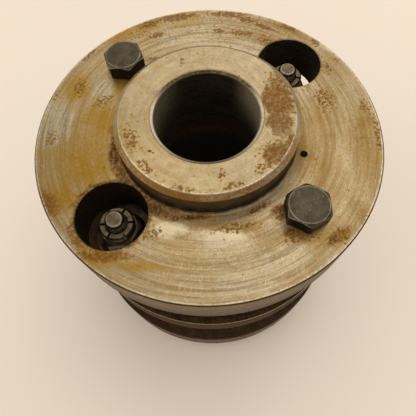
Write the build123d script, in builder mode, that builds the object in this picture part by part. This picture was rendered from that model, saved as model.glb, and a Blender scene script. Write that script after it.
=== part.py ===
from build123d import *
import math
import os

# Double-flexing disc shaft coupling: two flanged hubs, two flexing packs of thin
# steel discs and a floating centre plate. The shaft axis is Z. The origin is on
# that axis at the end face of the lower hub's boss, which the coupling stands on.
# The lower half is the mirror image of the upper half about the centre plate.

os.makedirs("parts", exist_ok=True)

# ---------------------------------------------------------------- driving dimensions, mm
flange_radius = 57.15
flange_thickness = 15.6
boss_radius = 29.4
boss_height = 9.8
spigot_radius = 27.5
spigot_length = 4.6
bore_radius = 16.67

flange_gap = 27.0
plate_radius = 56.0
plate_thickness = 11.6
plate_hole_radius = 20.0

bolt_circle_radius = 41.5
hub_bolt_angle = 135.0
stud_angle = 45.0
clearance_hole_radius = 11.25
bolt_hole_radius = 4.12

thread_radius = 3.97
threaded_hole_radius = 4.0
hex_across_flats = 12.7
head_height = 5.6
thread_end_beyond_nut = 3.6
thread_point_radius = 3.35
thread_point_length = 4.9
thread_tip_radius = 2.8
thread_tip_face_radius = 2.4

nut_hex_height = 5.5
nut_collar_height = 3.4
nut_collar_radius = 5.7
nut_lip_height = 1.2
nut_lip_radius = 3.8
nut_slot_width = 0.8
nut_slot_depth = 2.2
nut_slot_count = 6

washer_radius = 8.25
washer_hole_radius = 4.12
washer_thickness = 2.4

lamination_count = 6
lamination_thickness = 0.46
lamination_lobe_radius = 9.0
lamination_lobe_step = 0.25
lamination_opening_radius = 30.8
eyelet_radius = 5.0
eyelet_hole_radius = 4.2
flexing_clearance = 0.1

sleeve_radius = 6.75

# Edge breaks and rounds
boss_chamfer_width = 1.75
boss_chamfer_height = 1.3
bore_chamfer_width = 1.35
bore_chamfer_height = 0.9
inner_bore_chamfer = 0.6
edge_break = 0.4
boss_foot_round = 0.8
hole_edge_break = 0.35

# Small blind hole drilled at the foot of the upper boss
foot_hole_radius = 1.25
foot_hole_depth = 5.0
foot_hole_position = 32.1
foot_hole_angle = -16.5

# ---------------------------------------------------------------- levels, mm above the origin
total_height = 2 * (boss_height + flange_thickness + flange_gap) + plate_thickness
mid_height = total_height / 2
upper_flange_top = total_height - boss_height
upper_flange_bottom = upper_flange_top - flange_thickness
spigot_end = upper_flange_bottom - spigot_length
plate_top = mid_height + plate_thickness / 2
pack_thickness = lamination_count * lamination_thickness
pack_top = upper_flange_bottom - washer_thickness - flexing_clearance
pack_bottom = pack_top - pack_thickness
upper_face_of_pack = pack_top + flexing_clearance
lower_face_of_pack = pack_bottom - flexing_clearance
mid_plane = Plane.XY.offset(mid_height)


def finish(part, name):
    """Name one finished piece and write it to its own file."""
    part.label = name
    export_step(part, f"parts/{name}.step")


def on_bolt_circle(angle, height, turn=0.0):
    """Place something on the bolt circle at this angle and height."""
    x = bolt_circle_radius * math.cos(math.radians(angle))
    y = bolt_circle_radius * math.sin(math.radians(angle))
    return Location((x, y, height), (0, 0, turn))


def facing_down(location):
    """Turn a place over, so that what stood up from it hangs down from it."""
    return location * Location((0, 0, 0), (180, 0, 0))


def copies(template, places):
    """Several separate copies of one finished piece, kept in one node."""
    with BuildPart() as group:
        with Locations(*places):
            add(template)
    return group.part


def mirrored(part):
    """The same piece in the lower half of the coupling."""
    with BuildPart() as image:
        mirror(part, about=mid_plane)
    return image.part


def both_ends(angle, height, turns=(0.0, 0.0)):
    """The two opposite places on the bolt circle that start at this angle."""
    return [on_bolt_circle(angle + 180 * side, height, turns[side]) for side in (0, 1)]


# ---------------------------------------------------------------- hubs
with BuildPart() as upper_hub:
    with BuildSketch(Plane.XZ):
        with BuildLine():
            Polyline(
                (bore_radius + bore_chamfer_width, total_height),
                (boss_radius - boss_chamfer_width, total_height),
                (boss_radius, total_height - boss_chamfer_height),
                (boss_radius, upper_flange_top),
                (flange_radius - edge_break, upper_flange_top),
                (flange_radius, upper_flange_top - edge_break),
                (flange_radius, upper_flange_bottom + edge_break),
                (flange_radius - edge_break, upper_flange_bottom),
                (spigot_radius, upper_flange_bottom),
                (spigot_radius, spigot_end + edge_break),
                (spigot_radius - edge_break, spigot_end),
                (bore_radius + inner_bore_chamfer, spigot_end),
                (bore_radius, spigot_end + inner_bore_chamfer),
                (bore_radius, total_height - bore_chamfer_height),
                close=True,
            )
        make_face()
    revolve(axis=Axis.Z)
    boss_foot = (
        upper_hub.edges()
        .filter_by(GeomType.CIRCLE)
        .filter_by_position(Axis.Z, upper_flange_top - 0.01, upper_flange_top + 0.01)
        .sort_by(SortBy.RADIUS)[0]
    )
    fillet(boss_foot, radius=boss_foot_round)
    with BuildSketch(Plane.XY.offset(upper_flange_top)):
        with PolarLocations(bolt_circle_radius, 2, start_angle=stud_angle):
            Circle(clearance_hole_radius)
    extrude(amount=-flange_thickness, mode=Mode.SUBTRACT)
    with BuildSketch(Plane.XY.offset(upper_flange_top)):
        with PolarLocations(bolt_circle_radius, 2, start_angle=hub_bolt_angle):
            Circle(bolt_hole_radius)
    extrude(amount=-flange_thickness, mode=Mode.SUBTRACT)
    hole_rims = [
        edge
        for edge in upper_hub.edges().filter_by(GeomType.CIRCLE)
        if abs(edge.radius - clearance_hole_radius) < 0.001
    ]
    chamfer(hole_rims, length=hole_edge_break)

lower_hub_part = mirrored(upper_hub.part)

with BuildPart() as drilled_upper_hub:
    add(upper_hub.part)
    with BuildSketch(Plane.XY.offset(upper_flange_top)):
        with PolarLocations(foot_hole_position, 1, start_angle=foot_hole_angle):
            Circle(foot_hole_radius)
    extrude(amount=-foot_hole_depth, mode=Mode.SUBTRACT)

finish(drilled_upper_hub.part, "upper_hub")
finish(lower_hub_part, "lower_hub")

# ---------------------------------------------------------------- centre plate
with BuildPart() as centre_plate:
    with BuildSketch(Plane.XY.offset(mid_height - plate_thickness / 2)):
        Circle(plate_radius)
        Circle(plate_hole_radius, mode=Mode.SUBTRACT)
        with PolarLocations(bolt_circle_radius, 2, start_angle=stud_angle):
            Circle(bolt_hole_radius, mode=Mode.SUBTRACT)
    extrude(amount=plate_thickness)
    plate_rims = [
        edge
        for edge in centre_plate.edges().filter_by(GeomType.CIRCLE)
        if edge.radius > bolt_hole_radius + 1
    ]
    chamfer(plate_rims, length=edge_break)

finish(centre_plate.part, "centre_plate")


# ---------------------------------------------------------------- fasteners
def end_profile(tip):
    """Outer corners of a rolled thread's end, from the full thread out to the tip."""
    return [
        (thread_radius, tip - thread_point_length - 0.6),
        (thread_point_radius, tip - thread_point_length),
        (thread_point_radius, tip - 1.3),
        (thread_tip_radius, tip - 0.5),
        (thread_tip_face_radius, tip),
        (0, tip),
    ]


def hex_prism_with_cone_corners(height, corner_drop):
    """A hexagon standing on Z = 0, its top corners cut back by a 30 degree cone."""
    flat_radius = hex_across_flats / 2
    corner_radius = flat_radius / math.cos(math.radians(30))
    with BuildPart() as prism:
        with BuildSketch(Plane.XY):
            RegularPolygon(radius=flat_radius, side_count=6, major_radius=False)
        extrude(amount=height)
        with BuildSketch(Plane.XZ):
            with BuildLine():
                Polyline(
                    (0, 0),
                    (corner_radius + 0.1, 0),
                    (corner_radius + 0.1, height - corner_drop),
                    (flat_radius - 0.35, height),
                    (0, height),
                    close=True,
                )
            make_face()
        revolve(axis=Axis.Z, mode=Mode.INTERSECT)
    return prism.part


# How far the 30 degree cone falls from the rim of the flat top to past the corners
cone_run = hex_across_flats / 2 / math.cos(math.radians(30)) + 0.1 - (hex_across_flats / 2 - 0.35)
corner_cone_drop = cone_run * math.tan(math.radians(30))

# Hex cap screw with its bearing face at Z = 0 and its shank hanging down
hub_bolt_grip = flange_thickness + 2 * washer_thickness + pack_thickness + 2 * flexing_clearance
nut_height = nut_hex_height + nut_collar_height
hub_bolt_length = hub_bolt_grip + nut_height + thread_end_beyond_nut

with BuildPart() as hub_bolt:
    add(hex_prism_with_cone_corners(head_height, corner_cone_drop))
    with BuildSketch(Plane.XZ):
        with BuildLine():
            shank = [(r, -z) for r, z in end_profile(hub_bolt_length)]
            Polyline((0, head_height / 2), (thread_radius, head_height / 2), *shank, close=True)
        make_face()
    revolve(axis=Axis.Z)

# Six-slot collar locknut, seated at Z = 0 with its collar upwards
with BuildPart() as collar_nut:
    add(hex_prism_with_cone_corners(nut_hex_height, corner_cone_drop))
    with BuildSketch(Plane.XY.offset(nut_hex_height)):
        Circle(nut_collar_radius)
    extrude(amount=nut_collar_height)
    collar_rim = (
        collar_nut.edges()
        .filter_by(GeomType.CIRCLE)
        .filter_by_position(Axis.Z, nut_height - 0.01, nut_height + 0.01)
        .sort_by(SortBy.RADIUS)[-1]
    )
    chamfer(collar_rim, length=0.5)
    with BuildSketch(Plane.XZ):
        with BuildLine():
            Polyline(
                (0, 0),
                (threaded_hole_radius + 0.5, 0),
                (threaded_hole_radius, 0.5),
                (threaded_hole_radius, nut_height - nut_lip_height - 0.5),
                (nut_lip_radius, nut_height - nut_lip_height),
                (nut_lip_radius, nut_height),
                (0, nut_height),
                close=True,
            )
        make_face()
    revolve(axis=Axis.Z, mode=Mode.SUBTRACT)
    with BuildSketch(Plane.XY.offset(nut_height)):
        with PolarLocations(nut_collar_radius / 2 + 1.5, nut_slot_count):
            Rectangle(nut_collar_radius, nut_slot_width)
    extrude(amount=-nut_slot_depth, mode=Mode.SUBTRACT)

# Bevelled washer, flat face at Z = 0
with BuildPart() as bevelled_washer:
    with BuildSketch(Plane.XZ):
        with BuildLine():
            Polyline(
                (washer_hole_radius, 0),
                (washer_radius - 0.2, 0),
                (washer_radius, 0.2),
                (washer_radius, washer_thickness - 0.9),
                (washer_radius - 1.3, washer_thickness),
                (washer_hole_radius, washer_thickness),
                close=True,
            )
        make_face()
    revolve(axis=Axis.Z)

# Spacer sleeve, standing on Z = 0
sleeve_length = lower_face_of_pack - washer_thickness - plate_top
with BuildPart() as spacer_sleeve:
    with BuildSketch(Plane.XY):
        Circle(sleeve_radius)
        Circle(washer_hole_radius, mode=Mode.SUBTRACT)
    extrude(amount=sleeve_length)
    outer_rims = spacer_sleeve.edges().filter_by(GeomType.CIRCLE).sort_by(SortBy.RADIUS)[-2:]
    chamfer(outer_rims, length=0.4)

head_turns = (52.0, 31.0)
nut_turns = (-15.0, 4.0)
inner_nut_turns = (20.0, 50.0)

# Upper hub's bolts, washers and nuts
upper_hub_bolts = copies(hub_bolt.part, both_ends(hub_bolt_angle, upper_flange_top, head_turns))
upper_flange_washers = copies(
    bevelled_washer.part,
    both_ends(hub_bolt_angle, upper_face_of_pack),
)
upper_nut_washers = copies(
    bevelled_washer.part,
    [facing_down(place) for place in both_ends(hub_bolt_angle, lower_face_of_pack)],
)
upper_hub_nuts = copies(
    collar_nut.part,
    [
        facing_down(place)
        for place in both_ends(hub_bolt_angle, lower_face_of_pack - washer_thickness, inner_nut_turns)
    ],
)

# What the studs carry above the centre plate
upper_stud_nuts = copies(
    collar_nut.part,
    both_ends(stud_angle, upper_face_of_pack + washer_thickness, nut_turns),
)
upper_stud_washers = copies(bevelled_washer.part, both_ends(stud_angle, upper_face_of_pack))
upper_sleeve_washers = copies(
    bevelled_washer.part,
    [facing_down(place) for place in both_ends(stud_angle, lower_face_of_pack)],
)
upper_spacer_sleeves = copies(spacer_sleeve.part, both_ends(stud_angle, plate_top))

upper_fasteners = {
    "hub_bolts": upper_hub_bolts,
    "flange_washers": upper_flange_washers,
    "nut_washers": upper_nut_washers,
    "hub_nuts": upper_hub_nuts,
    "stud_nuts": upper_stud_nuts,
    "stud_washers": upper_stud_washers,
    "sleeve_washers": upper_sleeve_washers,
    "spacer_sleeves": upper_spacer_sleeves,
}
for fastener_name, fastener in upper_fasteners.items():
    finish(fastener, f"upper_{fastener_name}")
    finish(mirrored(fastener), f"lower_{fastener_name}")

# Studs through both packs and the centre plate
stud_half_length = upper_face_of_pack + washer_thickness + nut_height + thread_end_beyond_nut - mid_height
with BuildPart() as plate_stud:
    with BuildSketch(Plane.XZ):
        with BuildLine():
            upper_end = end_profile(stud_half_length)
            lower_end = [(r, -z) for r, z in reversed(upper_end)]
            Polyline(*lower_end, *upper_end, close=True)
        make_face()
    revolve(axis=Axis.Z)

finish(copies(plate_stud.part, both_ends(stud_angle, mid_height)), "plate_studs")


# ---------------------------------------------------------------- disc packs
def lamination(bottom, lobe_radius):
    """One thin disc: four lobes joined by straight links round a wide opening."""
    side = bolt_circle_radius * math.sqrt(2)
    with BuildPart() as disc:
        with BuildSketch(Plane.XY.offset(bottom)):
            Rectangle(side, side)
            with PolarLocations(bolt_circle_radius, 4, start_angle=stud_angle):
                Circle(lobe_radius)
            with PolarLocations(side / 2 + lobe_radius / 2 - 0.9, 4):
                Rectangle(lobe_radius, side)
            Circle(lamination_opening_radius, mode=Mode.SUBTRACT)
            with PolarLocations(bolt_circle_radius, 4, start_angle=stud_angle):
                Circle(eyelet_radius, mode=Mode.SUBTRACT)
        extrude(amount=lamination_thickness)
    return disc.part


for number in range(lamination_count):
    lobe_radius = lamination_lobe_radius - lamination_lobe_step * (number % 2)
    disc = lamination(pack_top - (number + 1) * lamination_thickness, lobe_radius)
    finish(disc, f"upper_lamination_{number + 1}")
    finish(mirrored(disc), f"lower_lamination_{number + 1}")

with BuildPart() as pack_eyelets:
    with BuildSketch(Plane.XY.offset(pack_bottom)):
        with PolarLocations(bolt_circle_radius, 4, start_angle=stud_angle):
            Circle(eyelet_radius)
            Circle(eyelet_hole_radius, mode=Mode.SUBTRACT)
    extrude(amount=pack_thickness)

finish(pack_eyelets.part, "upper_pack_eyelets")
finish(mirrored(pack_eyelets.part), "lower_pack_eyelets")
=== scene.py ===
import math

import bmesh
import bpy
from mathutils import Matrix, Vector


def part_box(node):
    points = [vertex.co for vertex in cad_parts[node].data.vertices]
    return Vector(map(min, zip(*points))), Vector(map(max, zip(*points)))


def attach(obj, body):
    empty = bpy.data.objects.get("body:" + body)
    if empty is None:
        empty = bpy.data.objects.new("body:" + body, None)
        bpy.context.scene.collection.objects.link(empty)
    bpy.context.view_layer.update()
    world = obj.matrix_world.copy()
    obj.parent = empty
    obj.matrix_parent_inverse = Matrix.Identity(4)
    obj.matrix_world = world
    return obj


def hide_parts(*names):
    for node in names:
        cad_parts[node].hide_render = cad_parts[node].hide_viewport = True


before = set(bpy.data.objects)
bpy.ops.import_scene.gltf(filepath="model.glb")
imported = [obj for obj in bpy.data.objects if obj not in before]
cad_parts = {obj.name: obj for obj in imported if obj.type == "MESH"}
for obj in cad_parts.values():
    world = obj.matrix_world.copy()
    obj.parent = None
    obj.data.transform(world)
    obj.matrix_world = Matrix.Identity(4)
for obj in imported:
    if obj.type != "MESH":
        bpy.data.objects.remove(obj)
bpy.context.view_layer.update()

MM = 0.001

# Sizes that the pieces below are built from, in millimetres
FLANGE_RADIUS = (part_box("upper_hub")[1][0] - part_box("upper_hub")[0][0]) / 2 / MM
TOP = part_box("upper_hub")[1][2] / MM
BOLT_CIRCLE = 41.5
BOSS_RADIUS = 29.4
BOSS_HEIGHT = 9.8
BOSS_CHAMFER_WIDTH = 1.75
BOSS_CHAMFER_HEIGHT = 1.3
BORE_RADIUS = 16.67
FLANGE_THICKNESS = 15.6
FLANGE_TOP = TOP - BOSS_HEIGHT
FLANGE_BOTTOM = FLANGE_TOP - FLANGE_THICKNESS
LOWER_INNER_FACE = BOSS_HEIGHT + FLANGE_THICKNESS
SPIGOT_RADIUS = 27.5
CLEARANCE_RADIUS = 11.25
MIDDLE = TOP / 2
PLATE_HALF = 5.8
PLATE_RADIUS = 56.0
PLATE_HOLE = 20.0
STUD_ANGLE = 45.0
HUB_BOLT_ANGLE = 135.0
STUD_DIRECTION = (math.cos(math.radians(STUD_ANGLE)), math.sin(math.radians(STUD_ANGLE)), 0)
HUB_BOLT_DIRECTION = (math.cos(math.radians(HUB_BOLT_ANGLE)), math.sin(math.radians(HUB_BOLT_ANGLE)), 0)

# Bolts and studs. A head's chamfer lies on a cone, and HEAD_CONE is how far its point is above the middle
HEAD_TURNS = (52.0, 31.0)
STUD_TURNS = (0.0, 25.0)
HEX_FLATS = 12.7
HEX_CORNER = HEX_FLATS / 2 / math.cos(math.radians(30)) - 0.16
HEAD_HEIGHT = 5.6
HEAD_TOP_RADIUS = 6.0
BEARING_RADIUS = 6.0
BEARING_HEIGHT = 0.4
HEAD_SEAT = FLANGE_TOP - MIDDLE
CHAMFER_SLOPE = math.tan(math.radians(30))
HEAD_CONE = HEAD_SEAT + HEAD_HEIGHT + HEAD_TOP_RADIUS * CHAMFER_SLOPE
SHANK_RADIUS = 3.97
POINT_RADIUS = 3.35
POINT_ROOT = 2.90
POINT_LENGTH = 4.9
TIP_RADIUS = 2.8
TIP_FACE_RADIUS = 2.4
TIP_BEVEL = 0.4
THREAD_PITCH = 1.06
STEPS_PER_PITCH = 10
STUD_TIP = FLANGE_TOP - 3.1
HUB_BOLT_TIP = 70.74

# Angles of the points of every ring: closer together at the worn corners of the hexagon
WORN_FROM_FLAT = math.degrees(math.acos(HEX_FLATS / 2 / HEX_CORNER))
SIDE_ANGLES = (-WORN_FROM_FLAT, -20, -10, 0, 10, 20, WORN_FROM_FLAT, 30)
RING_ANGLES = [60 * side + 30 + angle for side in range(6) for angle in SIDE_ANGLES]


# ---------------------------------------------------------------- shader building
class Shade:
    """One procedural material. Lengths inside it are millimetres in the shared frame."""

    def __init__(self, name):
        self.material = bpy.data.materials.new(name)
        self.material.use_nodes = True
        self.tree = self.material.node_tree
        self.tree.nodes.clear()
        output = self.add("ShaderNodeOutputMaterial")
        self.bsdf = self.add("ShaderNodeBsdfPrincipled")
        self.link(self.bsdf.outputs["BSDF"], output.inputs["Surface"])
        # Where a surface isn't bare metal it is rust or dirt, which hardly shines
        self.bsdf.inputs["Specular IOR Level"].default_value = 0.12
        coords = self.add("ShaderNodeTexCoord")
        self.mm = self.vector("SCALE", coords.outputs["Object"], scale=1 / MM)
        split = self.add("ShaderNodeSeparateXYZ")
        self.link(self.mm, split.inputs[0])
        self.x, self.y, self.z = split.outputs
        self.flat = self.join(self.x, self.y, 0.0)
        self.radius = self.vector("LENGTH", self.flat)
        self.mottle = self.noise(0.28, 5, 0.62, at=self.shifted(40, 7, 0))

    def add(self, kind):
        return self.tree.nodes.new(kind)

    def link(self, source, target):
        self.tree.links.new(source, target)

    def feed(self, value, socket):
        if isinstance(value, bpy.types.NodeSocket):
            self.link(value, socket)
        else:
            socket.default_value = value

    def vector(self, operation, a, b=None, scale=None):
        node = self.add("ShaderNodeVectorMath")
        node.operation = operation
        self.feed(a, node.inputs[0])
        if b is not None:
            self.feed(b, node.inputs[1])
        if scale is not None:
            node.inputs["Scale"].default_value = scale
        return node.outputs["Value" if operation in ("LENGTH", "DOT_PRODUCT") else "Vector"]

    def join(self, x, y, z):
        node = self.add("ShaderNodeCombineXYZ")
        for value, socket in zip((x, y, z), node.inputs):
            self.feed(value, socket)
        return node.outputs[0]

    def math(self, operation, a, b=0.0, clamp=False):
        node = self.add("ShaderNodeMath")
        node.operation = operation
        node.use_clamp = clamp
        self.feed(a, node.inputs[0])
        self.feed(b, node.inputs[1])
        return node.outputs[0]

    def ramp(self, value, low, high, to_low=0.0, to_high=1.0):
        """Smooth step from to_low, where value is low, to to_high, where it is high."""
        node = self.add("ShaderNodeMapRange")
        node.interpolation_type = "SMOOTHSTEP"
        node.clamp = False
        self.feed(value, node.inputs["Value"])
        numbers = {"From Min": low, "From Max": high, "To Min": to_low, "To Max": to_high}
        for name, number in numbers.items():
            node.inputs[name].default_value = number
        return node.outputs["Result"]

    def noise(self, scale, detail, roughness, distortion=0.0, at=None):
        """Noise from 0 to 1 with features about 1 / scale millimetres wide."""
        node = self.add("ShaderNodeTexNoise")
        self.feed(self.mm if at is None else at, node.inputs["Vector"])
        node.inputs["Scale"].default_value = scale
        node.inputs["Detail"].default_value = detail
        node.inputs["Roughness"].default_value = roughness
        node.inputs["Distortion"].default_value = distortion
        return node.outputs["Fac"]

    def shifted(self, x, y, z):
        """The coordinates moved aside, so that one noise doesn't repeat another."""
        return self.vector("ADD", self.mm, (x, y, z))

    def rings(self, per_mm, along):
        """Coordinates that run round the shaft axis: long along the turning, short across it."""
        around = self.vector("SCALE", self.vector("NORMALIZE", self.flat), scale=along)
        split = self.add("ShaderNodeSeparateXYZ")
        self.link(around, split.inputs[0])
        across = self.math("MULTIPLY", self.math("ADD", self.radius, self.z), per_mm)
        return self.join(split.outputs[0], split.outputs[1], across)

    def stretched(self, turn, shift, thin, long):
        """Coordinates for straight lines at an angle in plan, thin across and long along, in millimetres."""
        node = self.add("ShaderNodeMapping")
        node.vector_type = "TEXTURE"
        self.link(self.mm, node.inputs["Vector"])
        node.inputs["Location"].default_value = (shift, 0, 0)
        node.inputs["Rotation"].default_value = (0, 0, math.radians(turn))
        node.inputs["Scale"].default_value = (long, thin, long)
        return node.outputs[0]

    def band(self, value, low, high, soft):
        """1 between low and high, fading out over soft on both sides."""
        rise = self.ramp(value, low - soft, low + soft)
        fall = self.ramp(value, high - soft, high + soft, 1.0, 0.0)
        return self.math("MULTIPLY", rise, fall)

    def spots(self, places, ragged, core=0.25, edge=1.0):
        """1 inside any of the turned ellipses (x, y, half width, half height, turn), with ragged rims."""
        reach = 1.7  # the gradient has to go past an ellipse's rim, so that the rim can wobble outwards
        closest = None
        for x, y, wide, tall, turn in places:
            node = self.add("ShaderNodeTexGradient")
            node.gradient_type = "SPHERICAL"
            self.link(self.flat, node.inputs["Vector"])
            mapping = node.texture_mapping
            mapping.vector_type = "TEXTURE"
            mapping.translation = (x, y, 0)
            mapping.rotation = (0, 0, math.radians(turn))
            mapping.scale = (wide * reach, tall * reach, 1)
            near = node.outputs["Fac"]
            closest = near if closest is None else self.math("MAXIMUM", closest, near)
        distance = self.math("MULTIPLY", self.math("SUBTRACT", 1.0, closest), reach)
        wobble = self.math("SUBTRACT", self.mottle, 0.5)
        distance = self.math("ADD", distance, self.math("MULTIPLY", wobble, ragged))
        return self.ramp(distance, core, edge, 1.0, 0.0)

    def from_axes(self, towards, sideways):
        """Distance from the nearer of the two bolt axes that lie towards this direction and away from it."""
        along = self.math("ABSOLUTE", self.vector("DOT_PRODUCT", self.flat, towards))
        across = self.vector("DOT_PRODUCT", self.flat, sideways)
        return self.vector("LENGTH", self.join(self.math("SUBTRACT", along, BOLT_CIRCLE), across, 0.0))

    def from_middle(self):
        """Height above or below the middle of the coupling."""
        return self.math("ABSOLUTE", self.math("SUBTRACT", self.z, MIDDLE))

    def most(self, *masks):
        total = masks[0]
        for mask in masks[1:]:
            total = self.math("MAXIMUM", total, mask)
        return total

    def times(self, *values):
        total = values[0]
        for value in values[1:]:
            total = self.math("MULTIPLY", total, value)
        return total

    def blend_values(self, fac, a, b):
        """Number a where fac is 0 and number b where it is 1."""
        return self.math("ADD", self.times(self.math("SUBTRACT", 1.0, fac), a), self.times(fac, b))

    def blend(self, fac, a, b):
        """Colour a where fac is 0 and colour b where it is 1."""
        node = self.add("ShaderNodeMix")
        node.data_type = "RGBA"
        self.feed(fac, node.inputs["Factor"])
        self.feed(a, node.inputs[6])
        self.feed(b, node.inputs[7])
        return node.outputs[2]

    def coat(self, fac, color):
        """Lay a colour over the shade's own where fac is 1."""
        self.color = self.blend(fac, self.color, color)

    def bump(self, height, strength, distance_mm):
        node = self.add("ShaderNodeBump")
        node.inputs["Strength"].default_value = strength
        node.inputs["Distance"].default_value = distance_mm * MM
        self.feed(height, node.inputs["Height"])
        return node.outputs["Normal"]

    def finish(self, color, roughness, metallic, normal=None):
        self.feed(color, self.bsdf.inputs["Base Color"])
        self.feed(roughness, self.bsdf.inputs["Roughness"])
        self.feed(metallic, self.bsdf.inputs["Metallic"])
        if normal is not None:
            self.link(normal, self.bsdf.inputs["Normal"])
        return self.material


# Colours, linear
STEEL = (0.33, 0.27, 0.17, 1)
STEEL_BRIGHT = (0.50, 0.42, 0.27, 1)
STEEL_DULL = (0.17, 0.125, 0.065, 1)
# Clean steel, also used as a painted highlight in front
STEEL_CLEAN_AND_HIGHLIGHT = (0.58, 0.50, 0.34, 1)
OIL_STAIN = (0.320, 0.182, 0.022, 1)
OIL_STAIN_DULL = (0.235, 0.135, 0.030, 1)
OIL_BROWN = (0.215, 0.098, 0.018, 1)
OIL_BURNT = (0.048, 0.020, 0.006, 1)
RUST = (0.160, 0.066, 0.013, 1)
RUST_FILM = (0.205, 0.098, 0.020, 1)
WALL_BROWN = (0.060, 0.035, 0.014, 1)
# Dark rust; also painted shade low on the flange's rim and along its top corner
RUST_DARK_AND_SHADE = (0.026, 0.014, 0.007, 1)
LOWER_BROWN = (0.092, 0.045, 0.018, 1)
RIM_BROWN = (0.150, 0.092, 0.034, 1)
# Light burnished steel: scratches and worn rims, and painted highlights on edges and on the bore's rim
BURNISHED_AND_HIGHLIGHT = (0.70, 0.64, 0.52, 1)
# Near-black: grime, and painted shade in the bore, the holes, corners and gaps and on the sides of bolt
# heads
GRIME_AND_SHADE = (0.006, 0.0045, 0.003, 1)

# Marks on the upper hub: each is an ellipse (x, y, half width, half height, turn) seen from
# above, in millimetres and degrees
OILED = (
    (-40, -8, 13, 18, -12),
    (-37, 7, 9, 10, 0),
    (-45, -24, 9, 7, 30),
    (-46, 19, 5, 6, 0),
    (-31, 21, 5, 10, 0),
    (-32, 46, 7, 5, 35),
    (-24, 49, 7, 3, 25),
    (37, 4, 10, 11, 0),
    (36, -14, 9, 14, 10),
    (50, -6, 7, 22, 0),
    (30.5, -6, 3.5, 15, 0),
    (30, -37, 17, 6, 15),
    (6, -35, 10, 3, 5),
    (-32, -43, 10, 3.5, 0),
    (-20, -45.5, 9, 1.8, -4),
    (46, -30, 4, 7, 30),
    (22, 40, 8, 3, -35),
    (33, 44, 8, 4, -35),
)
BURNT = (
    (-30.3, -7, 2.4, 15, 8),
    (-27.5, 17, 2.5, 9, -32),
    (-26, -17, 4.5, 5, 40),
    (-17, -27.5, 9, 3.0, -28),
    (-6, -30.6, 9, 1.5, 3),
    (15, -28.0, 7, 1.2, 28),
    (-30, -42.5, 11, 2.2, 0),
    (-38, -37.5, 4, 2.5, -35),
    (-49.5, -25, 3.5, 8, 35),
    (22, -29, 5, 3.5, 40),
    (25, -36, 4, 2.5, 0),
    (38, -37.5, 7, 2.2, 35),
)
CLEANED = (
    (-52, 4, 8, 13, 0),
    (-36, 19, 6, 6, 30),
    (-12, -34.5, 8, 3.6, -3),
    (4, -37, 12, 4, -4),
    (22, -44, 12, 6, 28),
    (10, -51, 13, 4.5, 3),
    (15, 36, 10, 6, -20),
    (45, 38, 5, 8, 45),
    (-5, 43, 18, 6, 0),
)
RUSTED = (
    (-12, 53, 12, 2.5, 8),
    (8, 54, 12, 2.2, -5),
    (15, 51, 8, 2.2, -14),
    (4.5, 45.5, 3, 2, 0),
    (13, 44.2, 6, 2, -10),
    (21, 47.5, 8, 1.6, -28),
    (-19, 44, 5, 2, 15),
    (-22, 50, 6, 2.5, 20),
    (31, 47, 5, 3.5, -30),
    (22, 40, 5, 2.2, -30),
    (40, 39, 3, 3.5, 0),
    (42.5, 26, 2.5, 5, 20),
    (46.3, 30.2, 1.8, 1.6, 0),
    (40, 13, 5, 8, 0),
    (53, 9, 2.5, 6, 10),
    (55.5, -2, 1.8, 12, 0),
    (-53.3, 17, 2.6, 4, -15),
    (-44, 35, 6, 2.4, 50),
    (-45, 20, 4, 6, 0),
    (-36, 14, 6, 3, 30),
    (-52, -1, 3, 5, 0),
    (-49.5, -26, 3.5, 7, 35),
    (-30, -42, 14, 2.8, -4),
    (-38, -36, 3, 5, 30),
    (-17, -35.5, 5, 3.5, 20),
    (-27, -14, 5, 5, 30),
    (-9, 33, 3, 4, 0),
    (-20, 32, 4, 2, 15),
    (27, -37.5, 9, 2.5, 10),
    (39, -37, 3.5, 4, 30),
    (8, -34, 12, 2.2, 6),
)
BOSS_RUSTED = (
    (22.2, 4, 6.4, 11, 0),
    (25.5, 15, 4.2, 9, 20),
    (22, -3, 5, 7, 0),
    (20.3, -15, 4.5, 6, -30),
    (24, -13, 2.2, 8, -28),
)
BOSS_SPECKLED = (
    (16, -19.5, 5, 2.6, 25),
    (7.5, -25.3, 6, 1.8, 14),
    (-8, -26, 7, 1.8, -14),
    (-18, -18.5, 2.5, 6, 40),
    (-23, -9, 3, 8, 15),
    (4.2, -21.5, 2.2, 2.4, 0),
    (-8, 21.8, 1.4, 2.0, 0),
    (24, 8, 8, 14, 0),
    (20, -15, 7, 8, -30),
)
BOSS_PITS = ((-17, -13.2, 0.9, 0.6, 0), (-15.9, -13.8, 0.6, 0.5, 0), (11.5, -27.4, 0.9, 0.9, 0))


# ---------------------------------------------------------------- steel of the hubs
def hub_patterns(s):
    """Noises and masks that the layers of the hub share."""
    s.wide_rings = s.noise(1.0, 3, 0.65, at=s.rings(0.9, 1.8))
    s.turning = s.noise(1.0, 3, 0.7, at=s.rings(2.4, 2.6))
    s.fine_turning = s.noise(1.0, 2, 0.6, at=s.rings(9.0, 5.0))
    s.broad = s.noise(0.055, 4, 0.55)
    s.grain = s.noise(1.3, 6, 0.75, at=s.shifted(3, 90, 0))
    s.speckle = s.noise(1.05, 4, 0.62, at=s.shifted(150, 20, 0))
    s.flange_face = s.band(s.z, FLANGE_TOP - 0.15, FLANGE_TOP + 0.15, 0.1)
    s.boss_face = s.ramp(s.z, TOP - 0.2, TOP - 0.1)


def steel_base(s):
    """Bare steel. Ring marks show on the flange and hardly at all on the boss, which is mottled instead."""
    s.off_boss = s.ramp(s.radius, BOSS_RADIUS - 0.5, BOSS_RADIUS + 0.5, 0.30, 1.0)
    shine = s.ramp(s.blend_values(s.off_boss, s.mottle, s.turning), 0.28, 0.72)
    s.color = s.blend(shine, STEEL, STEEL_BRIGHT)
    s.coat(s.times(s.ramp(s.wide_rings, 0.42, 0.68), s.off_boss, 0.72), STEEL_DULL)
    s.coat(s.times(s.ramp(s.fine_turning, 0.45, 0.72), s.off_boss, 0.60), STEEL_DULL)
    s.coat(s.times(s.ramp(s.grain, 0.50, 0.72), 0.45), STEEL_DULL)


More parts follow.
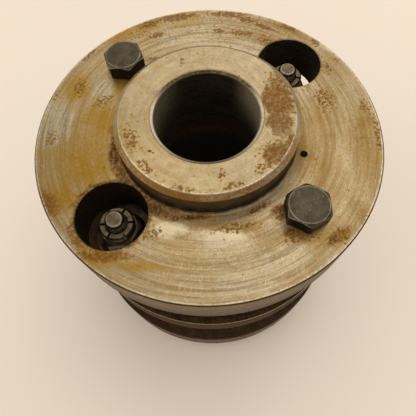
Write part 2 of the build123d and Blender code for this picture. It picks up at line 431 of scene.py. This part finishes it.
def oil_film(s):
    """An oil-brown film: on the upper hub thicker in the places in OILED and thin in those in CLEANED."""
    film = s.math("ADD", s.ramp(s.broad, 0.42, 0.66, 0.18, 0.50), s.ramp(s.radius, 42.0, 55.0, 0.0, 0.08))
    if s.weathered:
        s.on_flange = s.ramp(s.z, FLANGE_TOP + 1.0, FLANGE_TOP + 2.0, 1.0, 0.0)
        oiled = s.times(s.spots(OILED, 0.7, -0.1, 1.5), s.ramp(s.x, -12.0, 12.0, 0.80, 0.58))
        film = s.math("ADD", film, s.times(oiled, s.on_flange))
        cleaned = s.times(s.spots(CLEANED, 1.1), s.on_flange)
        film = s.math("SUBTRACT", film, s.times(cleaned, 0.8), clamp=True)
        # Wiped steel, lighter in a band in front as a painted highlight
        s.coat(s.times(cleaned, s.band(s.y, -38.0, -24.0, 4.0), 0.75), STEEL_CLEAN_AND_HIGHLIGHT)
    s.streaks = s.math("ADD", s.wide_rings, s.grain)
    streaky = s.ramp(s.streaks, 0.70, 1.20, 0.76, 1.0)
    s.film = s.times(film, streaky, s.ramp(s.speckle, 0.30, 0.62, 0.82, 1.12))
    s.coat(s.film, s.blend(s.ramp(s.x, -10.0, 14.0), OIL_STAIN, OIL_STAIN_DULL))


def dull_rim(s):
    """The flange's rim is duller than its faces."""
    s.rim = s.ramp(s.radius, FLANGE_RADIUS - 0.42, FLANGE_RADIUS - 0.38)
    s.coat(s.times(s.rim, 0.6), STEEL_DULL)


def burnt_oil(s):
    """Burnt oil in the places in BURNT and, mostly on the left, round the holes and the foot of the boss."""
    wobble = s.times(s.math("SUBTRACT", s.mottle, 0.5), 7.0)
    ring = s.times(
        s.ramp(s.math("ADD", s.from_hole, wobble), CLEARANCE_RADIUS - 0.2, CLEARANCE_RADIUS + 2.2, 1.0, 0.0),
        s.ramp(s.x, -20.0, 10.0, 0.9, 0.2),
    )
    foot_dirt = s.times(
        s.ramp(s.math("ADD", s.radius, wobble), BOSS_RADIUS, BOSS_RADIUS + 2.2, 1.0, 0.0),
        s.ramp(s.y, -14.0, 6.0, 1.0, 0.0),
        s.ramp(s.x, -16.0, 0.0, 1.0, 0.15),
    )
    places = s.most(s.spots(BURNT, 1.2), ring, foot_dirt)
    burnt = s.times(places, s.on_flange, s.ramp(s.speckle, 0.36, 0.60, 0.35, 1.1))
    s.burnt = s.times(burnt, s.ramp(s.radius, BOSS_RADIUS - 0.2, BOSS_RADIUS))
    s.coat(s.ramp(s.burnt, 0.05, 0.50, 0.0, 0.85), OIL_BROWN)
    s.coat(s.ramp(s.burnt, 0.50, 1.00, 0.0, 0.85), OIL_BURNT)


def rust_spots(s):
    """Fine spots of rust, on the upper hub dense at the rear and in the places in RUSTED, BOSS_SPECKLED."""
    if s.weathered:
        behind = s.ramp(s.y, 26.0, 46.0, 0.0, 0.32)
        area = s.times(s.math("ADD", s.spots(RUSTED, 0.9), behind), s.flange_face)
        area = s.math("ADD", area, s.times(s.spots(BOSS_SPECKLED, 0.8), s.boss_face))
        area = s.math("ADD", area, s.times(s.rim, 0.45))
    else:
        area = s.ramp(s.broad, 0.30, 0.55, 0.5, 1.1)
    eaten = s.math("ADD", s.speckle, s.times(area, 0.185))
    s.rust = s.times(s.ramp(eaten, 0.645, 0.695), s.ramp(s.grain, 0.30, 0.60, 0.60, 1.0))
    s.coat(s.times(s.ramp(eaten, 0.57, 0.66), 0.5), OIL_STAIN)
    s.coat(s.times(s.rust, 0.85), RUST)


def boss_rust(s):
    """A film of rust on the boss in the places in BOSS_RUSTED, and the few pits."""
    patch = s.times(s.spots(BOSS_RUSTED, 0.9), s.boss_face, s.ramp(s.grain, 0.30, 0.62, 0.55, 1.0))
    patch = s.times(s.ramp(patch, 0.0, 0.5), s.ramp(s.speckle, 0.36, 0.52, 0.62, 1.0))
    s.coat(s.times(patch, 0.88), RUST_FILM)
    s.coat(s.times(patch, s.ramp(s.speckle, 0.50, 0.62), 0.6), RUST)
    pits = s.times(s.spots(BOSS_PITS, 0.9), s.ramp(s.z, TOP - 1.5, TOP - 1.2))
    s.coat(s.ramp(pits, 0.1, 0.3, 0.0, 0.8), RUST_DARK_AND_SHADE)
    s.rust = s.math("MAXIMUM", s.rust, s.times(patch, 0.8))


def scratches(s):
    """Straight scratches in three directions, faint under the film."""
    bare = s.ramp(s.film, 0.25, 0.75, 0.60, 0.06)
    for turn, shift in ((28, 0), (118, 33), (76, 71)):
        lines = s.noise(1.0, 1, 0.5, at=s.stretched(turn, shift, 0.10, 3.2))
        s.coat(s.times(s.ramp(lines, 0.69, 0.74), s.off_boss, bare), BURNISHED_AND_HIGHLIGHT)


def boss_edges(s):
    """The boss's chamfer is brown, with a painted highlight along its top edge, mostly in front. Its wall is
    dark brown, darkening to near-black painted shade towards its foot, and the corner at its foot is painted
    with shade.
    """
    face_radius = BOSS_RADIUS - BOSS_CHAMFER_WIDTH
    chamfer = s.band(s.z, TOP - BOSS_CHAMFER_HEIGHT - 0.05, TOP - 0.22, 0.06)
    chamfer = s.times(chamfer, s.ramp(s.radius, face_radius - 0.25, face_radius - 0.05))
    frontal = s.ramp(s.y, -16.0, 2.0, 1.0, 0.15)
    s.coat(s.times(chamfer, frontal, s.ramp(s.streaks, 0.8, 1.15, 0.35, 0.95)), RUST_FILM)
    # A painted highlight along the chamfer's top edge, strongest in front
    top_edge_highlight = s.band(s.radius, face_radius - 0.20, face_radius + 0.13, 0.08)
    top_edge_highlight = s.times(top_edge_highlight, s.ramp(s.z, TOP - 0.3, TOP - 0.2))
    s.coat(s.times(top_edge_highlight, frontal, s.ramp(s.grain, 0.42, 0.58, 0.1, 0.85)), BURNISHED_AND_HIGHLIGHT)
    s.wall = s.times(
        s.band(s.z, FLANGE_TOP + 0.9, TOP - BOSS_CHAMFER_HEIGHT - 0.2, 0.15),
        s.band(s.radius, BOSS_RADIUS - 0.6, BOSS_RADIUS + 0.4, 0.15),
    )
    s.foot = s.times(
        s.band(s.radius, BOSS_RADIUS - 0.1, BOSS_RADIUS + 0.3, 0.30),
        s.ramp(s.z, FLANGE_TOP - 0.3, FLANGE_TOP),
        s.ramp(s.z, FLANGE_TOP + 1.5, FLANGE_TOP + 2.5, 1.0, 0.0),
        s.ramp(s.mottle, 0.32, 0.60, 0.35, 1.0),
        s.ramp(s.y, -5.0, 20.0, 1.0, 0.35),
    )
    # The wall is dark brown, darkening towards its foot into near-black painted shade
    wall_brown_and_shade = s.blend(s.ramp(s.z, FLANGE_TOP + 1.5, TOP - 3.0), GRIME_AND_SHADE, WALL_BROWN)
    s.coat(s.times(s.wall, s.ramp(s.mottle, 0.3, 0.6, 0.90, 0.99)), wall_brown_and_shade)
    # Painted shade in the corner at the boss's foot, strongest in front and broken up by mottle
    s.coat(s.times(s.foot, 0.97), GRIME_AND_SHADE)


def bore_and_holes(s):
    """The bore's rim has a painted highlight in front and at the sides, and is brown at the rear. The walls
    of the bore and the holes are painted near-black as shade.
    """
    bore_rim = s.band(s.radius, BORE_RADIUS + 0.25, BORE_RADIUS + 1.0, 0.1)
    bore_rim = s.times(bore_rim, s.ramp(s.z, TOP - 1.2, TOP - 1.1))
    # A painted highlight on the bore's rim in front, turning brown at the rear
    rim_highlight_and_brown = s.blend(s.ramp(s.y, 2.0, 12.0), BURNISHED_AND_HIGHLIGHT, WALL_BROWN)
    s.coat(s.times(bore_rim, s.ramp(s.grain, 0.35, 0.6, 0.6, 1.0)), rim_highlight_and_brown)

    in_bore = s.ramp(s.radius, BORE_RADIUS + 0.15, BORE_RADIUS + 0.35, 1.0, 0.0)
    in_hole = s.times(
        s.ramp(s.from_hole, CLEARANCE_RADIUS + 0.10, CLEARANCE_RADIUS + 0.20, 1.0, 0.0),
        s.ramp(s.z, FLANGE_TOP - 0.40, FLANGE_TOP - 0.28, 1.0, 0.0) if s.weathered else 1.0,
    )
    s.underneath = s.ramp(s.z, FLANGE_BOTTOM + 0.2, FLANGE_BOTTOM + 0.6, 1.0, 0.0)
    s.dirty_walls = s.most(in_bore, in_hole)
    if not s.weathered:
        above_face = s.ramp(s.z, LOWER_INNER_FACE + 0.2, LOWER_INNER_FACE + 0.7)
        spigot = s.times(above_face, s.ramp(s.radius, SPIGOT_RADIUS + 0.5, SPIGOT_RADIUS + 1.0, 1.0, 0.0))
        s.dirty_walls = s.most(s.dirty_walls, spigot)
    # Painted shade: the walls of the bore and the holes, and on the lower hub the spigot, are near-black,
    # faintly streaked
    s.coat(s.times(s.dirty_walls, s.ramp(s.streaks, 0.75, 1.15, 0.99, 0.93)), GRIME_AND_SHADE)

    # A lighter strip down each side of the bore, fading out downwards: worn steel with painted light
    side = s.ramp(s.math("ABSOLUTE", s.x), BORE_RADIUS - 9.0, BORE_RADIUS - 0.5)
    side = s.times(side, s.ramp(s.x, -6.0, 6.0, 0.45, 1.0))
    fade = s.ramp(s.z, FLANGE_BOTTOM + 4, TOP - 3, 0.0, 0.85)
    s.coat(s.times(in_bore, side, fade, s.ramp(s.grain, 0.35, 0.65, 0.6, 1.0)), STEEL)
    if s.weathered:
        # The hub below the flange's bottom face is darkened
        s.coat(s.times(s.underneath, 0.85), RUST_DARK_AND_SHADE)


def rim_marks(s):
    """The rim has a patchy brown film, with painted shade making it darker below, and a bright painted
    highlight along the top face's edge above a line of painted shade at the corner.
    """
    s.corner = s.band(s.radius, FLANGE_RADIUS - 0.36, FLANGE_RADIUS - 0.06, 0.04)
    edge = s.band(s.radius, FLANGE_RADIUS - 0.9, FLANGE_RADIUS - 0.5, 0.15)
    edge = s.times(edge, s.flange_face)
    patchy = s.math("ADD", s.mottle, s.grain)
    s.coat(s.times(s.rim, s.ramp(patchy, 0.80, 1.15, 0.55, 0.96)), RIM_BROWN)
    s.coat(s.times(s.rim, s.ramp(s.turning, 0.50, 0.72), 0.35), RUST_DARK_AND_SHADE)
    if s.weathered:
        # Painted shade, darker towards the bottom of the rim
        shade_low_on_rim = s.ramp(s.z, FLANGE_BOTTOM + 1, FLANGE_BOTTOM + 10, 0.6, 0.0)
        s.coat(s.times(s.rim, shade_low_on_rim), RUST_DARK_AND_SHADE)
    # A line of painted shade along the corner's chamfer
    s.coat(s.times(s.corner, 0.85), RUST_DARK_AND_SHADE)
    # A painted highlight just inside the edge of the top face
    s.coat(s.times(edge, s.ramp(s.grain, 0.4, 0.6, 0.0, 0.6)), BURNISHED_AND_HIGHLIGHT)


def brown_all_over(s):
    """The lower hub's brown coat, thinner on its boss and on its rim, and painted shade darkening its inner
    face.
    """
    aged = s.ramp(s.z, BOSS_HEIGHT - 0.3, BOSS_HEIGHT + 0.7, 0.45, 0.96)
    aged = s.times(aged, s.ramp(s.mottle, 0.30, 0.62, 0.80, 1.0))
    aged = s.times(aged, s.math("SUBTRACT", 1.0, s.dirty_walls))
    rim_left_out = s.times(s.rim, s.ramp(s.math("ADD", s.mottle, s.grain), 0.80, 1.15, 0.50, 0.10))
    s.aged = s.times(aged, s.math("SUBTRACT", 1.0, rim_left_out))
    s.coat(s.aged, s.blend(s.ramp(s.grain, 0.35, 0.6), RUST_DARK_AND_SHADE, LOWER_BROWN))
    # Painted shade on the inner face, in the gap between the hubs
    inner_face_shade = s.band(s.z, LOWER_INNER_FACE - 0.15, LOWER_INNER_FACE + 0.15, 0.08)
    s.coat(s.times(inner_face_shade, 0.55), GRIME_AND_SHADE)


def hub_surface(s):
    """Roughness, metal and relief: dirt is rough and not metallic, and turning gives the metal its sheen."""
    edges = (s.times(s.foot, 0.9), s.dirty_walls, s.times(s.corner, 0.8), s.times(s.rim, 0.55))
    dirt = s.most(s.rust, s.wall, *edges, s.aged)
    if s.weathered:
        # Dirty steel in front of the boss doesn't mirror the boss's dark wall
        hazy = s.times(
            s.ramp(s.radius, BOSS_RADIUS, BOSS_RADIUS + 6.0, 0.75, 0.0),
            s.ramp(s.y, -16.0, 2.0, 1.0, 0.2),
            s.on_flange,
        )
        dirt = s.most(dirt, s.underneath, s.times(s.burnt, 0.65), hazy)
    roughness = s.ramp(s.turning, 0.2, 0.8, 0.30, 0.44)
    roughness = s.math("ADD", roughness, s.times(s.film, 0.12))
    roughness = s.math("ADD", roughness, s.times(dirt, 0.30), clamp=True)
    metallic = s.math("SUBTRACT", 1.0, s.times(dirt, 0.92), clamp=True)

    relief = s.math("ADD", s.times(s.wide_rings, 0.6), s.times(s.turning, 0.5))
    relief = s.math("ADD", relief, s.math("ADD", s.times(s.fine_turning, 0.15), s.times(s.grain, 0.5)))
    normal = s.bump(relief, 0.60, 0.08)
    s.bsdf.inputs["Anisotropic"].default_value = 0.7
    tangent = s.add("ShaderNodeTangent")
    tangent.direction_type = "RADIAL"
    tangent.axis = "Z"
    s.link(tangent.outputs[0], s.bsdf.inputs["Tangent"])
    return s.finish(s.color, roughness, metallic, normal)


def turned_hub(name, weathered):
    """Turned steel in layers. A weathered hub has the marks listed above; the other is browned all over."""
    s = Shade(name)
    s.weathered = weathered
    hub_patterns(s)
    steel_base(s)
    oil_film(s)
    dull_rim(s)
    s.from_hole = s.from_axes(STUD_DIRECTION, HUB_BOLT_DIRECTION)
    if weathered:
        burnt_oil(s)
    rust_spots(s)
    if weathered:
        boss_rust(s)
    scratches(s)
    boss_edges(s)
    bore_and_holes(s)
    rim_marks(s)
    s.aged = 0.0
    if not weathered:
        brown_all_over(s)
    return hub_surface(s)


# ---------------------------------------------------------------- other metals
def plain_metal(name, light, dark, rust_level, rough=(0.35, 0.55), grain_scale=1.6, rusty=RUST):
    """Dull metal with blotches, fine grain and rust where a noise is over rust_level. Returns the shade."""
    s = Shade(name)
    blotch = s.noise(0.35, 5, 0.6)
    s.grain = s.noise(grain_scale, 5, 0.7, at=s.shifted(20, 0, 5))
    speckle = s.noise(0.9, 6, 0.7, 0.4, at=s.shifted(0, 60, 10))
    s.color = s.blend(s.ramp(blotch, 0.3, 0.7), light, dark)
    s.coat(s.times(s.ramp(s.grain, 0.5, 0.8), 0.4), dark)
    s.rust = s.ramp(speckle, rust_level, rust_level + 0.12)
    s.coat(s.times(s.rust, 0.9), rusty)
    s.rough = s.math("ADD", s.ramp(s.grain, 0.2, 0.8, *rough), s.times(s.rust, 0.3), clamp=True)
    return s


def finish_plain(s):
    metallic = s.math("SUBTRACT", 1.0, s.times(s.rust, 0.8), clamp=True)
    return s.finish(s.color, s.rough, metallic, s.bump(s.grain, 0.3, 0.05))


def fastener_metal(name, towards, sideways, *look):
    """Bolt or stud metal: darker in the roots of the thread, with worn rims on the tip and the head that are
    painted light as highlights too.
    """
    s = plain_metal(name, *look)
    radius = s.from_axes(towards, sideways)
    off_head = s.ramp(s.from_middle(), HEAD_SEAT - 1.9, HEAD_SEAT - 0.9, 1.0, 0.0)
    groove = s.band(radius, TIP_FACE_RADIUS + 0.2, POINT_RADIUS - 0.2, 0.1)
    s.coat(s.times(groove, off_head, 0.9), GRIME_AND_SHADE)
    crest = s.ramp(radius, POINT_RADIUS - 0.12, POINT_RADIUS - 0.04)
    crest = s.times(crest, s.ramp(radius, POINT_RADIUS + 0.1, POINT_RADIUS + 0.2, 1.0, 0.0), off_head)
    s.coat(s.times(crest, 0.6), STEEL)
    # Worn rims of the tip and of the head's top, painted light as highlights too
    tip_ring = s.times(s.band(radius, TIP_FACE_RADIUS - 0.15, TIP_RADIUS - 0.05, 0.06), off_head, 0.55)
    head_ring = s.times(s.band(radius, HEAD_TOP_RADIUS - 0.20, HEAD_TOP_RADIUS + 0.10, 0.08), 0.30)
    # The sides of a head are painted darker than its top, as painted shade: they lie below the cone of its
    # chamfer
    cone = s.math("ADD", s.from_middle(), s.times(radius, CHAMFER_SLOPE))
    head_side_shade = s.times(
        s.ramp(radius, HEX_FLATS / 2 - 0.13, HEX_FLATS / 2 - 0.03),
        s.ramp(cone, HEAD_CONE - 0.30, HEAD_CONE - 0.18, 1.0, 0.0),
    )
    s.coat(s.times(head_side_shade, 0.65), GRIME_AND_SHADE)
    s.coat(s.times(s.most(tip_ring, head_ring), s.ramp(s.grain, 0.35, 0.6, 0.15, 1.0)), BURNISHED_AND_HIGHLIGHT)
    specks = s.ramp(s.noise(1.9, 3, 0.6, at=s.shifted(9, 4, 70)), 0.62, 0.68)
    s.coat(s.times(specks, 0.35), STEEL)
    return finish_plain(s)


def plate_metal(name, *look):
    """The centre plate: brown rust, with painted shade on its faces, growing towards the middle, and round
    its hole, and bright lines at its rims as painted highlights.
    """
    s = plain_metal(name, *look)
    face = s.ramp(s.from_middle(), PLATE_HALF - 0.1, PLATE_HALF - 0.02)
    inward_shade = s.ramp(s.radius, PLATE_RADIUS - 4.0, PLATE_RADIUS - 1.0, 1.0, 0.25)
    # Painted shade on the plate's faces, growing towards the middle
    s.coat(s.times(face, inward_shade, 0.60), GRIME_AND_SHADE)
    hole = s.ramp(s.radius, PLATE_HOLE + 8.0, PLATE_HOLE + 16.0, 1.0, 0.0)
    # Painted shade round the central hole
    s.coat(s.times(hole, 0.93), GRIME_AND_SHADE)
    # The bright lines are painted highlights. They end short of the true radius, which the facets of the
    # mesh don't reach everywhere
    rim = s.band(s.radius, PLATE_RADIUS - 0.38, PLATE_RADIUS - 0.16, 0.05)
    s.coat(s.times(rim, s.ramp(s.grain, 0.35, 0.6, 0.35, 0.85)), STEEL_BRIGHT)
    return finish_plain(s)


def plain(*look):
    return finish_plain(plain_metal(*look))


# Looks of the other metals: light, dark, rust level, and for some the roughness, grain scale and rust colour
BLACK_OXIDE = ((0.078, 0.065, 0.044, 1), (0.046, 0.038, 0.027, 1), 0.62, (0.36, 0.52), 3.4)
# Worn edges of the bolt heads, lighter also as painted highlights
WORN_OXIDE_AND_HIGHLIGHT = ((0.26, 0.22, 0.16, 1), (0.10, 0.085, 0.06, 1), 0.62, (0.3, 0.45), 3.0)
NUT_STEEL = ((0.17, 0.132, 0.078, 1), (0.07, 0.052, 0.032, 1), 0.58)
WASHER_STEEL = ((0.07, 0.046, 0.03, 1), (0.028, 0.019, 0.012, 1), 0.52)
SPRING_STEEL = ((0.20, 0.16, 0.11, 1), (0.09, 0.065, 0.04, 1), 0.58)
PLATE_RUST = (0.092, 0.046, 0.017, 1)
PLATE_STEEL = ((0.088, 0.050, 0.026, 1), (0.040, 0.023, 0.012, 1), 0.44, (0.6, 0.85), 2.2, PLATE_RUST)

materials = {
    "upper_hub": turned_hub("upper_hub_steel", True),
    "lower_hub": turned_hub("lower_hub_steel", False),
    "plate": plate_metal("rusted_plate_steel", *PLATE_STEEL),
    "bolt": fastener_metal("black_oxide", HUB_BOLT_DIRECTION, STUD_DIRECTION, *BLACK_OXIDE),
    "bolt_edge": plain("worn_and_highlit_black_oxide", *WORN_OXIDE_AND_HIGHLIGHT),
    "stud": fastener_metal("stud_steel", STUD_DIRECTION, HUB_BOLT_DIRECTION, *NUT_STEEL),
    "nut": plain("dull_nut_steel", *NUT_STEEL),
    "washer": plain("dark_washer_steel", *WASHER_STEEL),
    "spring": plain("spring_steel_sheet", *SPRING_STEEL),
}


def material_of(node):
    if node in ("upper_hub", "lower_hub"):
        return materials[node]
    if node == "centre_plate":
        return materials["plate"]
    if "lamination" in node or "eyelets" in node:
        return materials["spring"]
    if "hub_bolts" in node:
        return materials["bolt"]
    if node == "plate_studs":
        return materials["stud"]
    if "nuts" in node:
        return materials["nut"]
    return materials["washer"]


for node_name, node_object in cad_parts.items():
    for material_slot in node_object.material_slots:
        material_slot.material = material_of(node_name)


# ---------------------------------------------------------------- threaded fasteners
def on_axis(angle):
    return Vector((math.cos(math.radians(angle)), math.sin(math.radians(angle)), 0)) * BOLT_CIRCLE


def round_ring(radius, height):
    """A ring of points round the axis; radius may be a number or a function of the angle in degrees."""
    ring = []
    for degrees in RING_ANGLES:
        out = radius(degrees) if callable(radius) else radius
        angle = math.radians(degrees)
        ring.append(Vector((out * math.cos(angle), out * math.sin(angle), height)))
    return ring


def hex_radius(degrees, shrink=0.0):
    """Outline of the hexagon with worn corners; a corner is at 0 degrees."""
    from_flat = (degrees % 60) - 30
    flat = HEX_FLATS / 2 - shrink
    return min(flat / math.cos(math.radians(from_flat)), HEX_CORNER - shrink)


def threaded_end(tip):
    """Rings of a threaded point, from the full shank below to the face at the tip."""
    start = tip - POINT_LENGTH
    depth = POINT_RADIUS - POINT_ROOT
    rings = [round_ring(SHANK_RADIUS, start - 0.6), round_ring(POINT_ROOT, start)]
    steps = int((POINT_LENGTH - TIP_BEVEL) / THREAD_PITCH * STEPS_PER_PITCH)
    for step in range(1, steps + 1):
        height = start + step * THREAD_PITCH / STEPS_PER_PITCH
        # The thread grows over its first steps and runs out towards the bevel
        fade = min(1, step / 8)
        room = TIP_RADIUS + (POINT_RADIUS - TIP_RADIUS) * min(1, (tip - TIP_BEVEL - height) / 0.8)

        # In section the thread is a blunt ridge with a flat root
        def helix(degrees):
            turn = (height / THREAD_PITCH - degrees / 360) % 1
            ridge = min(1, max(0, 2.6 * (0.5 - abs(turn - 0.5)) - 0.12))
            return min(POINT_ROOT + depth * ridge * fade, room)

        rings.append(round_ring(helix, height))
    rings.append(round_ring(TIP_RADIUS - 0.05, tip - TIP_BEVEL + 0.02))
    rings.append(round_ring(TIP_FACE_RADIUS, tip - 0.02))
    rings.append(round_ring(TIP_FACE_RADIUS - 0.2, tip))
    return rings


def upside_down(rings, about):
    return [[Vector((p.x, p.y, 2 * about - p.z)) for p in ring] for ring in rings]


def hex_head(seat):
    """Rings of a hex head from its bearing face up to its top, and which rows of faces are worn edges."""
    top = seat + HEAD_HEIGHT
    bottom_edge = 0.12
    lip_width = 0.16

    def chamfer_height(degrees, shrink):
        return top - (hex_radius(degrees, shrink) - HEAD_TOP_RADIUS) * CHAMFER_SLOPE

    rings = [round_ring(BEARING_RADIUS, seat), round_ring(BEARING_RADIUS, seat + BEARING_HEIGHT)]
    rings.append(round_ring(lambda a: hex_radius(a, bottom_edge), seat + BEARING_HEIGHT))
    rings.append(round_ring(hex_radius, seat + BEARING_HEIGHT + bottom_edge))
    shoulder = round_ring(hex_radius, 0)
    lip = round_ring(lambda a: hex_radius(a, lip_width), 0)
    for outer, inner, degrees in zip(shoulder, lip, RING_ANGLES):
        outer.z = chamfer_height(degrees, 0) - 0.10
        inner.z = chamfer_height(degrees, lip_width)
    rings += [shoulder, lip]
    rings += [round_ring(HEAD_TOP_RADIUS + 0.1, top - 0.06), round_ring(HEAD_TOP_RADIUS - 0.15, top)]
    # The bottom edge, the edge between the sides and the chamfer, and the rim of the top: worn edges, whose
    # lighter material also stands for painted highlights
    worn = {2: 1, 4: 1, 6: 1}
    return rings, worn


def solid(rings, worn, turn, centre):
    """Points, faces and material numbers of one closed piece; worn gives the material of a row of faces."""
    place = Matrix.Translation(centre) @ Matrix.Rotation(math.radians(turn), 4, "Z")
    count = len(RING_ANGLES)
    points = [place @ point for ring in rings for point in ring]
    faces, marks = [], []
    for row in range(len(rings) - 1):
        below, above = row * count, (row + 1) * count
        for i in range(count):
            j = (i + 1) % count
            faces.append([below + i, below + j, above + j, above + i])
            marks.append(worn.get(row, 0))
    faces.append(list(range(count))[::-1])
    faces.append([(len(rings) - 1) * count + i for i in range(count)])
    return points, faces, marks + [0, 0]


def fastener(name, solids, body, node, looks):
    """One piece made of several turned solids, which stands for a CAD node."""
    mesh = bpy.data.meshes.new(name)
    points, faces, marks = [], [], []
    for solid_points, solid_faces, solid_marks in solids:
        first = len(points)
        points += [point * MM for point in solid_points]
        faces += [[first + index for index in face] for face in solid_faces]
        marks += solid_marks
    mesh.from_pydata(points, [], faces)
    for look in looks:
        mesh.materials.append(look)
    for polygon, mark in zip(mesh.polygons, marks):
        polygon.material_index = mark
        polygon.use_smooth = True
    edit = bmesh.new()
    edit.from_mesh(mesh)
    bmesh.ops.recalc_face_normals(edit, faces=edit.faces)
    edit.to_mesh(mesh)
    edit.free()
    mesh.set_sharp_from_angle(angle=math.radians(28))
    piece = bpy.data.objects.new(name, mesh)
    bpy.context.scene.collection.objects.link(piece)
    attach(piece, body)
    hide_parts(node)
    return piece


for half, body, flip in (("upper", "upper_hub_group", False), ("lower", "lower_hub_group", True)):
    bolts = []
    for side, turn in enumerate(HEAD_TURNS):
        head, worn = hex_head(FLANGE_TOP)
        point = upside_down(threaded_end(2 * FLANGE_TOP - HUB_BOLT_TIP), FLANGE_TOP)
        rings = list(reversed(point)) + [round_ring(SHANK_RADIUS, FLANGE_TOP - 0.001)] + head
        worn = {row + len(point) + 1: mark for row, mark in worn.items()}
        if flip:
            rings = upside_down(rings, MIDDLE)
        bolts.append(solid(rings, worn, turn, on_axis(HUB_BOLT_ANGLE + 180 * side)))
    looks = (materials["bolt"], materials["bolt_edge"])
    fastener(f"{half}_hub_cap_screws", bolts, body, f"{half}_hub_bolts", looks)

studs = []
for side, turn in enumerate(STUD_TURNS):
    end = threaded_end(STUD_TIP)
    rings = list(reversed(upside_down(end, MIDDLE))) + end
    studs.append(solid(rings, {}, turn, on_axis(STUD_ANGLE + 180 * side)))
fastener("threaded_studs", studs, "centre_group", "plate_studs", (materials["stud"],))

# ---------------------------------------------------------------- floor, light and camera
FLOOR_HALF = 3.0
FLOOR_COLOR = (0.806, 0.726, 0.641, 1)
WORLD_COLOR = (1.0, 0.93, 0.84, 1)
WORLD_STRENGTH = 0.79
LIGHT_TARGET = (0, 0, 0.1)
WARM = (1.0, 0.95, 0.88)
WARMER = (1.0, 0.94, 0.86)

floor_mesh = bpy.data.meshes.new("floor")
corners = [(x * FLOOR_HALF, y * FLOOR_HALF, 0) for x, y in ((-1, -1), (1, -1), (1, 1), (-1, 1))]
floor_mesh.from_pydata(corners, [], [(0, 1, 2, 3)])
floor = bpy.data.objects.new("floor", floor_mesh)
bpy.context.scene.collection.objects.link(floor)
floor_shade = Shade("pale_floor")
floor_mesh.materials.append(floor_shade.finish(FLOOR_COLOR, 0.9, 0.0))

world = bpy.data.worlds.new("soft_studio")
bpy.context.scene.world = world
world.use_nodes = True
background = world.node_tree.nodes["Background"]
background.inputs["Color"].default_value = WORLD_COLOR
background.inputs["Strength"].default_value = WORLD_STRENGTH


def softbox(name, location, size, power, color):
    """A rectangular light that points at the object."""
    light = bpy.data.lights.new(name, "AREA")
    light.shape = "RECTANGLE"
    light.size, light.size_y = size
    light.energy = power
    light.color = color
    box = bpy.data.objects.new(name, light)
    box.location = location
    box.rotation_euler = (Vector(LIGHT_TARGET) - Vector(location)).to_track_quat("-Z", "Y").to_euler()
    bpy.context.scene.collection.objects.link(box)


softbox("rear_top_light", (0.1, 0.75, 1.0), (1.2, 0.8), 3.0, WARM)
softbox("top_light", (0.30, 0.16, 1.2), (0.7, 0.5), 1.9, WARM)
softbox("right_light", (1.0, 0.35, 0.55), (0.6, 0.4), 0.9, WARM)
softbox("left_light", (-0.9, -0.1, 0.8), (0.7, 0.7), 1.5, WARMER)

# The photo's viewpoint: distance from the shaft axis and height above the upper flange in flange radii
CAMERA_RING = 1.356
CAMERA_ABOVE = 1.945
CAMERA_AZIMUTH = math.radians(1.95)
CAMERA_TURN = math.radians(3.03)
CAMERA_DOWN = math.radians(65.79)
CAMERA_ROLL = math.radians(3.63)
SENSOR_WIDTH = 36
FOCAL_LENGTH = 34.82

camera_data = bpy.data.cameras.new("camera")
camera_data.sensor_width = SENSOR_WIDTH
camera_data.lens = FOCAL_LENGTH
camera = bpy.data.objects.new("camera", camera_data)
ring = CAMERA_RING * FLANGE_RADIUS * MM
place = Vector(
    (
        ring * math.sin(CAMERA_AZIMUTH),
        -ring * math.cos(CAMERA_AZIMUTH),
        (FLANGE_TOP + CAMERA_ABOVE * FLANGE_RADIUS) * MM,
    )
)
turn = (
    Matrix.Rotation(CAMERA_TURN, 4, "Z")
    @ Matrix.Rotation(math.pi / 2 - CAMERA_DOWN, 4, "X")
    @ Matrix.Rotation(-CAMERA_ROLL, 4, "Z")
)
camera.matrix_world = Matrix.Translation(place) @ turn
bpy.context.scene.collection.objects.link(camera)
bpy.context.scene.camera = camera
bpy.context.scene.view_settings.view_transform = "Standard"
